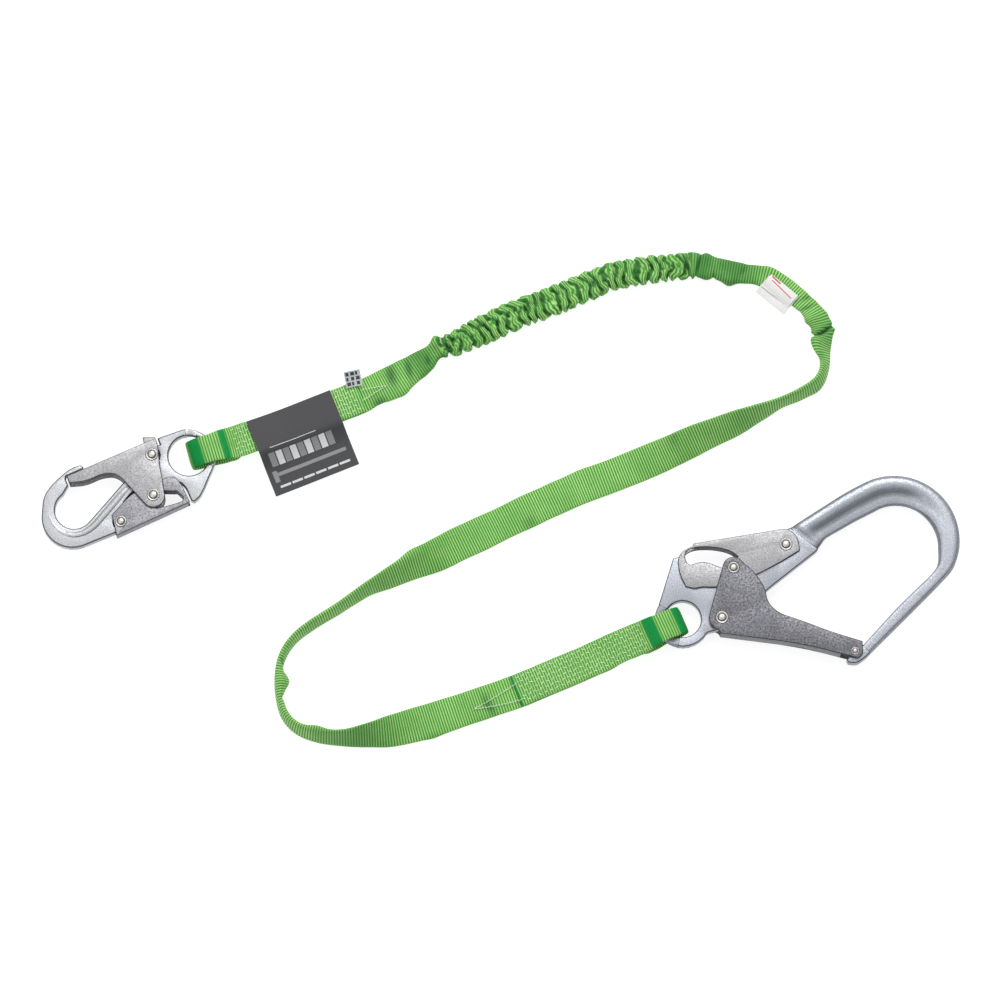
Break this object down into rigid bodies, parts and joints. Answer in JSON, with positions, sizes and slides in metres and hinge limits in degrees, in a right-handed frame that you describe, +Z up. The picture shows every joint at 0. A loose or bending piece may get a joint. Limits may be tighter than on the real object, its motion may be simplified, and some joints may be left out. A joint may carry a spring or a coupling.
{
  "type": "shock absorbing lanyard",
  "caption": "Safety lanyard: a flat tubular stretch web with a gathered shock section, a double-locking snap hook at one end and a large rebar hook at the other.",
  "frame": {"origin": "on the floor, under the centre of the box round the two hooks", "axes": "+Z up from the floor, +X from the snap hook towards the rebar hook, +Y towards the shock section"},
  "size_m": [0.6701, 0.3695, 0.023],
  "materials": {
    "forged_steel": "zinc plated forging",
    "gate_steel": "zinc plated stamping",
    "dark_steel": "darker zinc plated stamping",
    "rivet_steel": "bright rivet",
    "spring_steel": "spring wire",
    "green_web": "ribbed polyester web",
    "core_fibre": "partially oriented yarn",
    "thread": "white sewing thread",
    "grey_label": "dark grey vinyl label",
    "silver_tag": "grey printed tag",
    "white_tag": "white woven tag"
  },
  "bodies": {
    "web": {"snap_eye_loop": "green_web", "snap_end_web": "green_web", "shock_jacket": "green_web", "main_web": "green_web", "rebar_eye_loop": "green_web", "energy_core": "core_fibre", "snap_end_stitching": "thread", "rebar_end_stitching": "thread", "id_label": "grey_label", "batch_tag": "silver_tag", "inspection_tag": "white_tag"},
    "snap_hook": {"snap_hook_body": "forged_steel", "snap_gate_rivet": "rivet_steel", "snap_lever_rivet": "rivet_steel", "snap_gate_spring": "spring_steel", "snap_lever_spring": "spring_steel"},
    "snap_gate": {"snap_gate": "gate_steel", "snap_lock_pin": "rivet_steel"},
    "snap_lever": {"snap_lock_lever": "dark_steel"},
    "rebar_hook": {"rebar_hook_body": "forged_steel", "rebar_gate_rivet": "rivet_steel", "rebar_lever_rivet": "rivet_steel", "rebar_gate_spring": "spring_steel", "rebar_lever_spring": "spring_steel"},
    "rebar_gate": {"rebar_gate": "dark_steel", "rebar_lock_pin": "rivet_steel", "rebar_tip_pin": "rivet_steel"},
    "rebar_lever": {"rebar_lock_lever": "gate_steel"}
  },
  "joints": [
    {"name": "snap_hook_swing", "type": "hinge", "parent": "web", "child": "snap_hook", "pos_m": [-0.21077, 0.07162, 0.0105], "axis": [-0.2924, 0.9563, 0], "range_deg": [-120, 120]},
    {"name": "snap_gate_hinge", "type": "hinge", "parent": "snap_hook", "child": "snap_gate", "pos_m": [-0.25443, 0.06641, 0.0105], "axis": [0, 0, 1], "range_deg": [0, 26], "stiffness_Nm_per_rad": 0.3, "springref_deg": -20.05, "deforming": ["snap_gate_spring"]},
    {"name": "snap_lever_hinge", "type": "hinge", "parent": "snap_hook", "child": "snap_lever", "pos_m": [-0.27658, 0.01712, 0.0105], "axis": [0, 0, 1], "range_deg": [0, 10], "stiffness_Nm_per_rad": 0.3, "springref_deg": -11.46, "deforming": ["snap_lever_spring"]},
    {"name": "rebar_hook_swing", "type": "hinge", "parent": "web", "child": "rebar_hook", "pos_m": [0.11756, -0.06187, 0.0105], "axis": [0.4067, -0.9135, 0], "range_deg": [-120, 120]},
    {"name": "rebar_gate_hinge", "type": "hinge", "parent": "rebar_hook", "child": "rebar_gate", "pos_m": [0.16157, -0.05451, 0.0105], "axis": [0, 0, 1], "range_deg": [0, 40], "stiffness_Nm_per_rad": 0.4, "springref_deg": -22.92, "deforming": ["rebar_gate_spring"]},
    {"name": "rebar_lever_hinge", "type": "hinge", "parent": "rebar_hook", "child": "rebar_lever", "pos_m": [0.20848, -0.00007, 0.0105], "axis": [0, 0, 1], "range_deg": [0, 13], "stiffness_Nm_per_rad": 0.4, "springref_deg": -11.46, "deforming": ["rebar_lever_spring"]}
  ],
  "couplings": [
    {"joint": "snap_lever_hinge", "follows": "snap_gate_hinge", "ratio": 0.36},
    {"joint": "rebar_lever_hinge", "follows": "rebar_gate_hinge", "ratio": 0.32}
  ]
}
